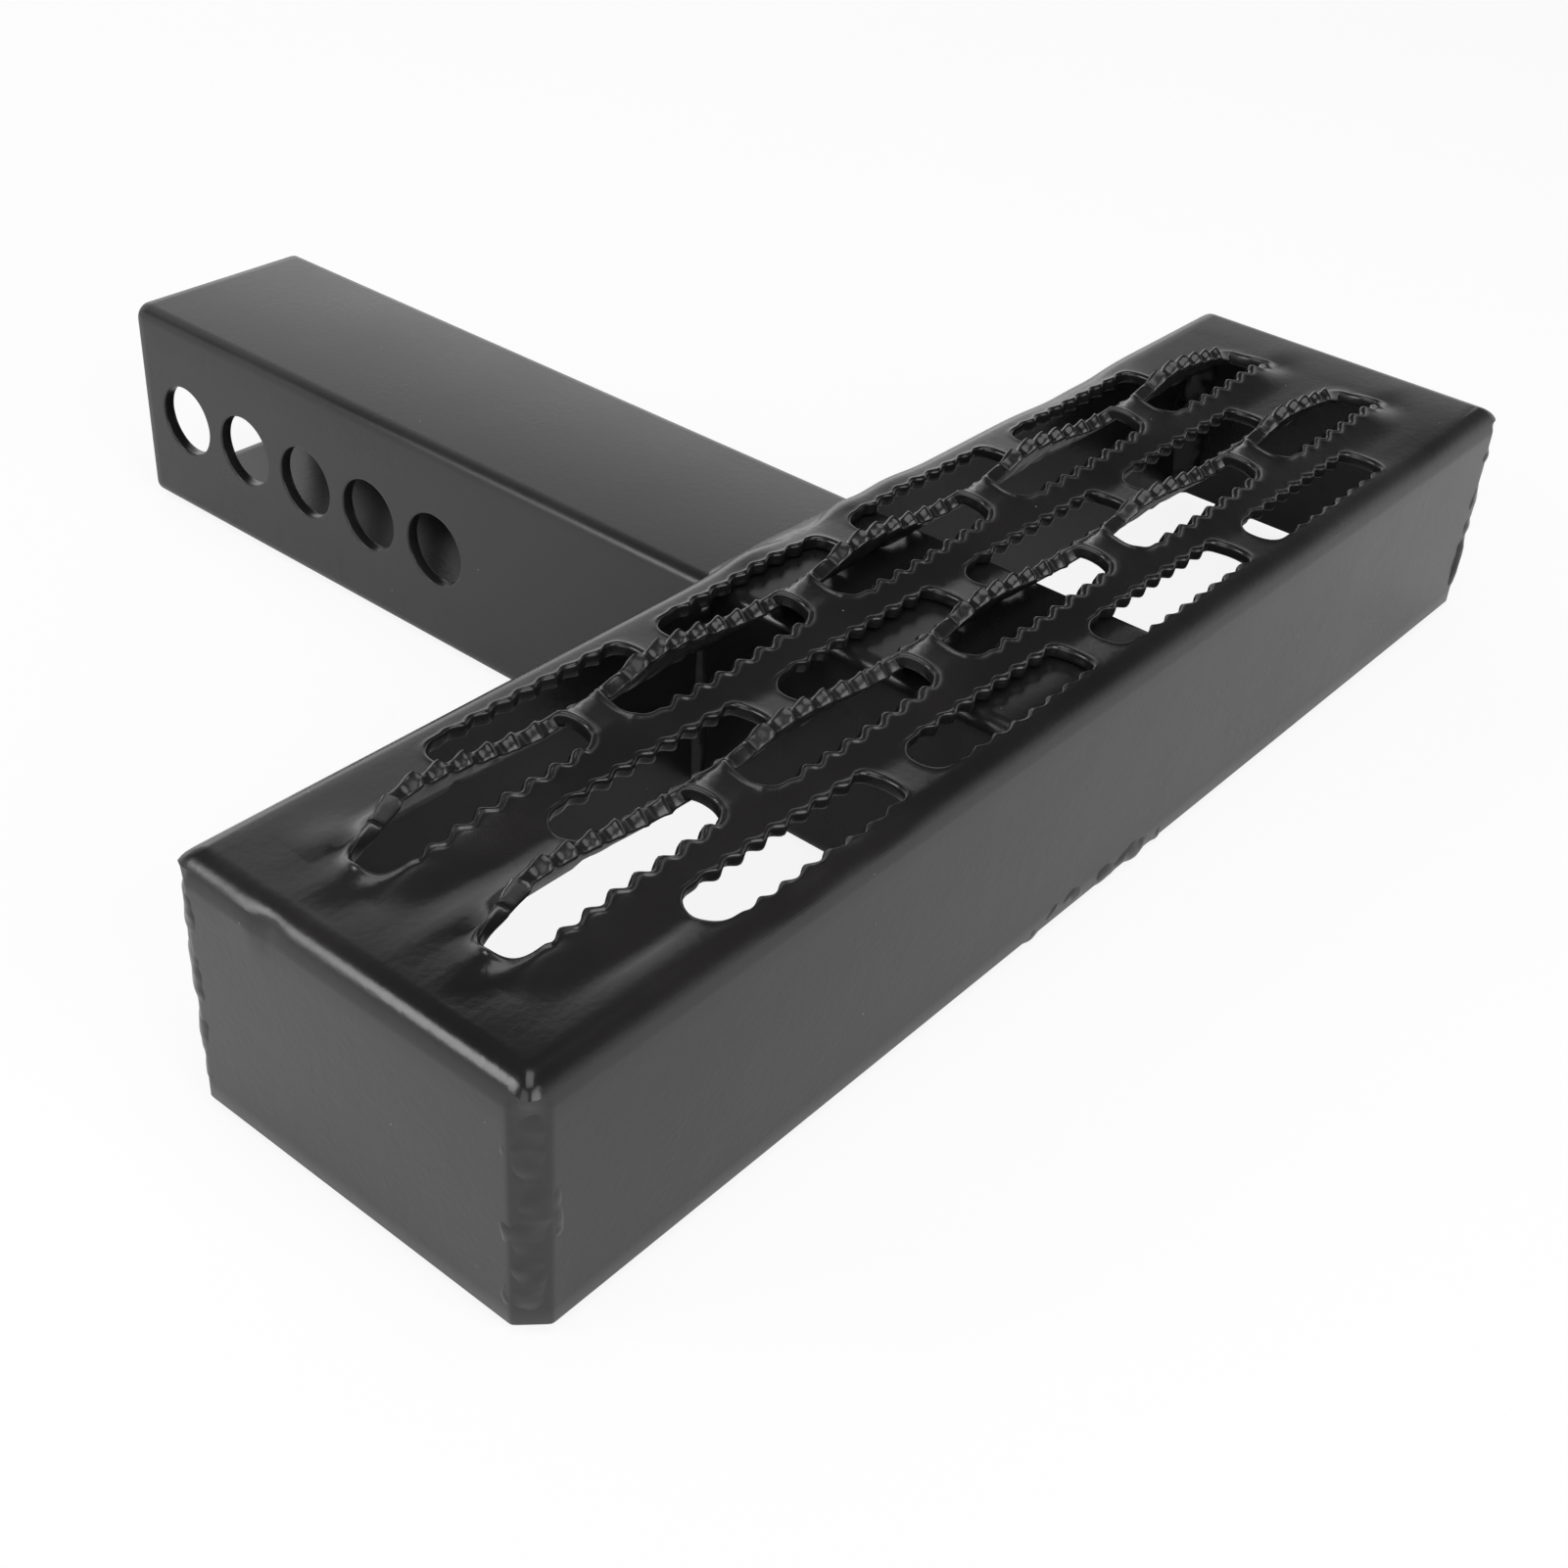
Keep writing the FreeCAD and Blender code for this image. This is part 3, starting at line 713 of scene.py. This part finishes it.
class STEP_OT_tray(bpy.types.Operator):
    """Folded tray with its cold formed, serrated tread, made from one flat sheet"""
    bl_idname = "step.tray"
    bl_label = "Tray"

    def execute(self, context):
        t = context.scene.step_tread
        coat = powder_coat("satin_black_powder_coat", 0.05, 0.10, 0.05)
        tree = row_tree()
        flat = slot_outline(t, False)
        first, inner, last = (slot_outline(t, True, at) for at in ("first", "inner", "last"))
        half, low = t.row_pitch / 2, FRONT_MARGIN * MM
        verts, faces = [], []
        for row in ROWS:
            raised = row % 2 == 1
            count, pressed = (OPENINGS, 1.0) if raised else (OPENINGS - 1, FLAT_PRESSED)
            down = low if row == ROWS[0] else half
            y = t.middle_y + row * t.row_pitch
            x = t.middle_x - (count - 1) / 2 * t.pitch
            runs = ((flat, x, count),)
            if raised:
                runs = ((first, x, 1), (inner, x + t.pitch, count - 2), (last, x + (count - 1) * t.pitch, 1))
            border = cell_border(t.pitch, down, half, NX, NY)
            for slot, start, many in runs:
                cell = plate_cell([p[:2] for p in slot], border, t.sheet, t.round, t.edge, [p[2] for p in slot],
                                  t.knot * pressed, t.rim * pressed)
                append(verts, faces, repeat(tree, cell, many, (start, y, 0), (t.pitch, 0, 0), coat))
            # A flat row ends half an opening short of the raised ones
            for end in () if raised else (-OPENINGS / 2 * t.pitch, (OPENINGS - 1) / 2 * t.pitch):
                xs = [t.middle_x + end + i * t.pitch / NX for i in range(NX // 2 + 1)]
                append(verts, faces, plain_plate(xs, row_places(y, down, half), t.sheet))
        loop, spans = pattern_border(t, low, half)
        skirt(t, verts, faces, loop, spans)
        formed = form_sheet(t, np.array(verts))
        new_piece("tread_sheet", formed, faces, coat, ["step_tray"], sharp=50.0)
        return {"FINISHED"}


# ---------- shank

# Steps of mesh along and across the wall at one hole, points along it before the holes and past them, and round
# a corner of the section
WALL_STEPS, PLAIN_POINTS, TAIL_POINTS, CORNER_POINTS = 24, 16, 3, 7
# Least radius of the tube's inner corners, in millimetres
INNER_CORNER = 0.6


class STEP_OT_shank(bpy.types.Operator):
    """Square tube with its five pin holes through both side walls"""
    bl_idname = "step.shank"
    bl_label = "Shank"

    def execute(self, context):
        s = context.scene.step_shank
        coat = powder_coat("satin_black_powder_coat_tube", 0.04, 0.05, 0.0)
        side = SHANK_HIGH.x - SHANK_LOW.x
        mid_x, mid_z = (SHANK_LOW.x + SHANK_HIGH.x) / 2, (SHANK_LOW.z + SHANK_HIGH.z) / 2
        half, reach, pins = side / 2 - s.corner, s.hole_pitch / 2, len(PINS_Y)
        border = cell_border(s.hole_pitch, half, half, WALL_STEPS, WALL_STEPS)
        angles = [math.atan2(y / half, x / reach) for x, y in border]
        rim = [(s.hole / 2 * math.cos(angle), s.hole / 2 * math.sin(angle)) for angle in angles]
        cell = plate_cell(rim, border, s.wall, s.edge, s.edge)
        side_verts, side_faces = repeat(row_tree(), cell, pins, (PINS_Y[0], 0, 0), (s.hole_pitch, 0, 0), coat)
        start, end = SHANK_LOW.y + s.edge, SHANK_HIGH.y - s.edge
        first, last = PINS_Y[0] - reach, PINS_Y[-1] + reach
        zs = [half * (i / (WALL_STEPS // 2) - 1) for i in range(WALL_STEPS + 1)]
        plain, tail = list(np.linspace(start, first, PLAIN_POINTS)), list(np.linspace(last, end, TAIL_POINTS))
        for places in (plain, tail):
            append(side_verts, side_faces, plain_plate(places, zs, s.wall))
        verts, faces = [], []
        for sign in (-1, 1):
            wall = [(mid_x + sign * (side / 2 + z), x, mid_z + y) for x, y, z in side_verts]
            append(verts, faces, (wall, side_faces))
        steps = WALL_STEPS * pins
        stations = plain[:-1] + [first + (last - first) * i / steps for i in range(steps)] + tail

        def section(inset):
            r = max(s.corner - inset, INNER_CORNER * MM)
            flat = side / 2 - inset - r
            ring = []
            for cx, cz, base in ((1, 1, 0), (-1, 1, 1), (-1, -1, 2), (1, -1, 3)):
                for k in range(CORNER_POINTS):
                    a = math.pi / 2 * (base + k / (CORNER_POINTS - 1))
                    if k == 0 and base % 2 == 0 or k == CORNER_POINTS - 1 and base % 2 == 1:
                        ring.append((cx * (side / 2 - inset), half if cz > 0 else -half))
                    else:
                        ring.append((cx * flat + r * math.cos(a), cz * flat + r * math.sin(a)))
            return ring

        # The side walls, which follow these two points of the section, are made already
        walls = (2 * CORNER_POINTS - 1, 4 * CORNER_POINTS - 1)
        for inset in (0.0, s.wall):
            ring = section(inset)
            faces += band(len(verts), len(ring), len(stations), lambda k, i: i not in walls)
            verts += [(mid_x + px, y, mid_z + pz) for y in stations for px, pz in ring]
        for y, sign in ((start, -1), (end, 1)):
            rows = []
            for inset, out in ((0.0, 0.0), (0.3 * s.edge, 0.7 * s.edge), (s.edge, s.edge),
                               (s.wall - s.edge, s.edge), (s.wall - 0.3 * s.edge, 0.7 * s.edge), (s.wall, 0.0)):
                ring = section(inset)
                full = []
                for i, p in enumerate(ring):
                    full.append(p)
                    if i in walls:
                        q = ring[(i + 1) % len(ring)]
                        full += [(p[0], p[1] + (q[1] - p[1]) * k / WALL_STEPS) for k in range(1, WALL_STEPS)]
                rows.append([(mid_x + px, y + sign * out, mid_z + pz) for px, pz in full])
            faces += band(len(verts), len(rows[0]), len(rows))
            for row in rows:
                verts += row
        new_piece("shank_sleeve", verts, faces, coat, ["shank_tube"], sharp=60.0)
        return {"FINISHED"}


# ---------- welds

# How square a bead's ends are, as a power, and the least share of its radius there
END_POWER, END_LEAST = 14.0, 0.08
# Millimetres over which the ripples wander, and by how many; gain of the lumps' noise; middle of a ripple
WANDER_LENGTH, WANDER, LUMP_GAIN, WAVE_MIDDLE = 5, 1.4, 4.0, 0.6


def bead_tree():
    """Geometry Nodes tree of one weld bead along a straight seam: swelling, rippled, with rounded ends."""
    tree = new_tree("weld_bead", Start="Vector", End="Vector", Radius="Float", Face="Vector", Flat="Float",
                    Lump="Float", Lump_Length="Float", Ripple="Float", Ripple_Pitch="Float", Step="Float",
                    Sides="Int", Seed="Float", Material="Material")
    given = add(tree, "NodeGroupInput").outputs
    place = add(tree, "GeometryNodeInputPosition").outputs[0]

    def calc(kind, a, b=0.0):
        return math_node(tree, kind, a, b)

    def vector(kind, result="Vector", **links):
        return add(tree, "ShaderNodeVectorMath", {"operation": kind}, **links).outputs[result]

    def noise(scale, detail):
        return add(tree, "ShaderNodeTexNoise", {"noise_dimensions": "4D"}, Vector=place, W=given["Seed"],
                   Scale=scale, Detail=detail).outputs[0]

    line = add(tree, "GeometryNodeCurvePrimitiveLine", Start=given["Start"], End=given["End"])
    path = add(tree, "GeometryNodeResampleCurve", {"mode": "LENGTH"}, Curve=line.outputs[0],
               Length=given["Step"])
    factor = add(tree, "GeometryNodeSplineParameter").outputs["Factor"]
    off = calc("ABSOLUTE", calc("SUBTRACT", calc("MULTIPLY", factor, 2.0), 1.0))
    closed = calc("POWER", calc("MAXIMUM", calc("SUBTRACT", 1.0, calc("POWER", off, END_POWER)), 0.0), 0.5)
    share = calc("MAXIMUM", closed, END_LEAST)
    section = add(tree, "GeometryNodeCurvePrimitiveCircle", Resolution=given["Sides"], Radius=given["Radius"])
    swept = add(tree, "GeometryNodeCurveToMesh", Curve=path.outputs[0], Profile_Curve=section.outputs[0],
                Fill_Caps=True, Scale=share)
    from_start = vector("SUBTRACT", _0=place, _1=given["Start"])
    deep = vector("DOT_PRODUCT", "Value", _0=from_start, _1=given["Face"])
    squash = calc("MULTIPLY", deep, calc("SUBTRACT", given["Flat"], 1.0))
    flat = add(tree, "GeometryNodeSetPosition", Geometry=swept.outputs[0],
               Offset=vector("SCALE", _0=given["Face"], Scale=squash))
    unit = vector("NORMALIZE", _0=vector("SUBTRACT", _0=given["End"], _1=given["Start"]))
    along = vector("DOT_PRODUCT", "Value", _0=from_start, _1=unit)
    swell = noise(calc("DIVIDE", 1.0, given["Lump Length"]), 1.0)
    drift = noise(1 / (WANDER_LENGTH * MM), 0.0)
    turn = calc("ADD", calc("DIVIDE", along, given["Ripple Pitch"]), calc("MULTIPLY", drift, WANDER))
    wave = calc("ABSOLUTE", calc("SINE", calc("MULTIPLY", turn, math.pi)))
    lump = calc("MULTIPLY", calc("SUBTRACT", swell, 0.5), calc("MULTIPLY", given["Lump"], LUMP_GAIN))
    ripple = calc("MULTIPLY", calc("SUBTRACT", wave, WAVE_MIDDLE), given["Ripple"])
    normal = add(tree, "GeometryNodeInputNormal").outputs[0]
    shaped = add(tree, "GeometryNodeSetPosition", Geometry=flat.outputs[0],
                 Offset=vector("SCALE", _0=normal, Scale=calc("ADD", lump, ripple)))
    end_tree(tree, shaped, given)
    return tree


# Beads down the tray's corners: CAD weld, side along X and Y, share left of the depth, and how lumpy
CORNER_BEADS = (("weld_front_near", -1, -1, 0.56, 0.5), ("weld_rear_near", -1, 1, 0.64, 0.55),
                ("weld_front_far", 1, -1, 0.72, 0.9), ("weld_rear_far", 1, 1, 0.7, 0.7))
# Millimetres: from the tray's outside in to a corner bead, from the fold's end up to its top, and from a CAD
# weld's foot up to the bead's
CORNER_IN, CORNER_UP, FOOT_GAP = 3.85, 1.2, 0.4
# The same for the beads over and in front of the shank: in from the tray's outside, down from the shank's top or
# up from the CAD weld's foot, and past the seam
TOP_BEAD_IN, TOP_BEAD_DOWN, TOP_BEAD_PAST = 1.65, 0.7, 2
FRONT_BEAD_IN, FRONT_BEAD_UP, FRONT_BEAD_PAST = 1.3, 3.65, 7


class STEP_OT_welds(bpy.types.Operator):
    """Weld beads down the four corners of the tray and round the shank"""
    bl_idname = "step.welds"
    bl_label = "Welds"

    def execute(self, context):
        w = context.scene.step_weld
        coat = powder_coat("satin_black_powder_coat_weld", 0.05, 0.45, 0.05)
        tree = bead_tree()
        beads = []

        def lay(name, start, end, face, radius, flat, lump, length):
            """Adds a bead for a CAD weld; its radius and the length of its lumps are in millimetres."""
            beads.append((name, {"Start": start, "End": end, "Radius": radius * MM, "Face": face, "Flat": flat,
                                 "Lump": w.lump * lump, "Lump Length": length * MM, "Ripple": w.ripple,
                                 "Ripple Pitch": w.ripple_pitch, "Step": w.step, "Sides": w.sides,
                                 "Seed": 3.7 * len(beads) + 1.0, "Material": coat}))

        edge_x, edge_y = TRAY_HIGH.x - CORNER_IN * MM, TRAY_HIGH.y - CORNER_IN * MM
        top = TRAY_TOP - context.scene.step_tread.bend + CORNER_UP * MM
        for name, sx, sy, flat, lump in CORNER_BEADS:
            x, y, foot = sx * edge_x, sy * edge_y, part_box(name)[0].z + FOOT_GAP * MM
            lay(name, (x, y, foot), (x, y, top), Vector((sx, sy, 0)).normalized(),
                radius=4.6, flat=flat, lump=lump, length=5.5)
        for name, x in (("weld_shank_left", SHANK_LOW.x), ("weld_shank_right", SHANK_HIGH.x)):
            low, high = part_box(name)
            lay(name, (x, TRAY_HIGH.y, low.z + FOOT_GAP * MM), (x, TRAY_HIGH.y, high.z), Vector((0, 1, 0)),
                radius=3.8, flat=1.0, lump=0.7, length=7)
        low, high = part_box("weld_shank_top")
        y, z = TRAY_HIGH.y - TOP_BEAD_IN * MM, SHANK_HIGH.z - TOP_BEAD_DOWN * MM
        lay("weld_shank_top", (low.x - TOP_BEAD_PAST * MM, y, z), (high.x + TOP_BEAD_PAST * MM, y, z),
            Vector((0, 0.4226, 0.9063)), radius=6.0, flat=0.35, lump=0.4, length=16)
        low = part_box("weld_shank_front")[0]
        y, z = TRAY_LOW.y + FRONT_BEAD_IN * MM, low.z + FRONT_BEAD_UP * MM
        lay("weld_shank_front", (low.x, y, z), (SHANK_HIGH.x + FRONT_BEAD_PAST * MM, y, z), Vector((0, 1, 0)),
            radius=2.9, flat=0.45, lump=0.9, length=7)
        for name, values in beads:
            finish_piece(name + "_bead", run_tree(tree, values), coat, [name], sharp=70.0, weld=1e-6)
        return {"FINISHED"}


# ---------- stage

# Half the floor's width in metres, and its gap below the object in millimetres
FLOOR_REACH, FLOOR_GAP = 4.0, 0.2
# Lamps: setting with their power, width, height and place in metres, and the point they all face
LAMPS = (("top", 0.9, 0.9, (-0.15, -0.15, 1.4)), ("key", 0.4, 0.4, (-0.90, 0.65, 0.68)),
         ("side", 1.0, 1.0, (-1.25, -0.35, 0.75)), ("back", 1.9, 1.04, (0.45, 1.12, 0.59)),
         ("fill", 1.0, 1.0, (-0.2, -1.32, 0.75)))
LAMP_AIM = Vector((0, 0, 0.03))
# The camera's place in millimetres and the direction it looks
CAMERA_PLACE, CAMERA_LOOK = Vector((-310.232, -197.1, 261.372)), Vector((0.646133, 0.497335, -0.578938))


def seen_rays(tree):
    """Outputs of the light path, and whether the camera sees the ray's end."""
    rays = add(tree, "ShaderNodeLightPath").outputs
    return rays, math_node(tree, "MAXIMUM", rays["Is Camera Ray"], rays["Is Transmission Ray"])


def lay_floor(stage):
    """White floor just under the object."""
    size, low = FLOOR_REACH, CAD_BOX[0][2] - FLOOR_GAP * MM
    floor = bpy.data.meshes.new("floor")
    floor.from_pydata([(-size, -size, low), (size, -size, low), (size, size, low), (-size, size, low)], [],
                      [(0, 1, 2, 3)])
    new_object("floor", floor)
    # White to the camera; in reflections it glows less, so that they keep the object's shadow on it
    material = bpy.data.materials.new("white_paper_floor")
    tree = empty_tree(material)
    rays, seen = seen_rays(tree)
    paper = add(tree, "ShaderNodeBsdfDiffuse", Color=linear(stage.white))
    glow = add(tree, "ShaderNodeEmission", Color=linear(stage.white), Strength=1.0)
    shiny = math_node(tree, "MULTIPLY", rays["Is Glossy Ray"], stage.floor_shine)
    shown = math_node(tree, "MULTIPLY_ADD", seen, stage.floor_glow, shiny)
    mixed = add(tree, "ShaderNodeMixShader", _0=shown, _1=paper.outputs[0], _2=glow.outputs[0])
    add(tree, "ShaderNodeOutputMaterial", Surface=mixed.outputs[0])
    floor.materials.append(material)


def light_room(stage):
    """Light from all round and the backdrop."""
    # White to the camera; in reflections it darkens upward, as a wall lit from below does
    world = bpy.data.worlds.new("studio")
    bpy.context.scene.world = world
    tree = empty_tree(world)
    rays, seen = seen_rays(tree)
    toward = add(tree, "ShaderNodeTexCoord").outputs["Generated"]
    upward = add(tree, "ShaderNodeSeparateXYZ", _0=toward).outputs["Z"]
    wall = add(tree, "ShaderNodeMapRange", {"interpolation_type": "SMOOTHSTEP"}, Value=upward, From_Min=0.05,
               From_Max=0.6, To_Min=1.0, To_Max=0.03)
    shiny = add(tree, "ShaderNodeMapRange", Value=rays["Is Glossy Ray"], To_Min=stage.sky,
                To_Max=wall.outputs["Result"])
    strength = add(tree, "ShaderNodeMapRange", Value=seen, To_Min=shiny.outputs["Result"], To_Max=1.0)
    sky = add(tree, "ShaderNodeBackground", Color=linear(stage.white), Strength=strength.outputs["Result"])
    add(tree, "ShaderNodeOutputWorld", Surface=sky.outputs[0])


def hang_lamps(stage):
    """Soft lamps round the object, all turned to it."""
    for name, wide, high, place in LAMPS:
        lamp = bpy.data.lights.new(name, "AREA")
        lamp.energy = getattr(stage, name)
        lamp.shape = "RECTANGLE"
        lamp.size, lamp.size_y = wide, high
        obj = new_object(name, lamp)
        obj.location = place
        obj.rotation_euler = (LAMP_AIM - Vector(place)).to_track_quat("-Z", "Y").to_euler()


def aim_camera(stage):
    """Camera at its place, turned to the object and rolled."""
    camera = bpy.data.cameras.new("camera")
    camera.sensor_width = 36.0
    camera.lens = stage.lens
    obj = new_object("camera", camera)
    level = CAMERA_LOOK.cross(Vector((0, 0, 1))).normalized()
    above = level.cross(CAMERA_LOOK)
    roll = math.radians(stage.roll)
    right = level * math.cos(roll) + above * math.sin(roll)
    high = above * math.cos(roll) - level * math.sin(roll)
    turned = Matrix((right, high, -CAMERA_LOOK)).transposed().to_4x4()
    obj.matrix_world = Matrix.Translation(CAMERA_PLACE * MM) @ turned
    bpy.context.scene.camera = obj


class STEP_OT_stage(bpy.types.Operator):
    """White floor, soft studio light and the camera"""
    bl_idname = "step.stage"
    bl_label = "Stage"

    def execute(self, context):
        stage = context.scene.step_stage
        lay_floor(stage)
        light_room(stage)
        hang_lamps(stage)
        aim_camera(stage)
        context.scene.view_settings.view_transform = "Standard"
        return {"FINISHED"}


class STEP_PT_panel(bpy.types.Panel):
    """Lists the pieces of the step"""
    bl_idname = "STEP_PT_panel"
    bl_label = "Receiver step"
    bl_space_type = "VIEW_3D"
    bl_region_type = "UI"
    bl_category = "Step"

    def draw(self, context):
        for operator in OPERATORS:
            self.layout.operator(operator.bl_idname)


GROUPS = {"step_tread": STEP_PG_tread, "step_shank": STEP_PG_shank, "step_weld": STEP_PG_weld,
          "step_coat": STEP_PG_coat, "step_stage": STEP_PG_stage}
OPERATORS = (STEP_OT_tray, STEP_OT_shank, STEP_OT_welds, STEP_OT_stage)


def register():
    for group in GROUPS.values():
        bpy.utils.register_class(group)
    for name, group in GROUPS.items():
        setattr(bpy.types.Scene, name, bpy.props.PointerProperty(type=group))
    for cls in OPERATORS + (STEP_PT_panel,):
        bpy.utils.register_class(cls)


def unregister():
    for cls in (STEP_PT_panel,) + OPERATORS[::-1]:
        bpy.utils.unregister_class(cls)
    for name in GROUPS:
        delattr(bpy.types.Scene, name)
    for group in GROUPS.values():
        bpy.utils.unregister_class(group)


def main():
    register()
    bpy.ops.step.tray()
    bpy.ops.step.shank()
    bpy.ops.step.welds()
    bpy.ops.step.stage()


if __name__ == "__main__":
    main()
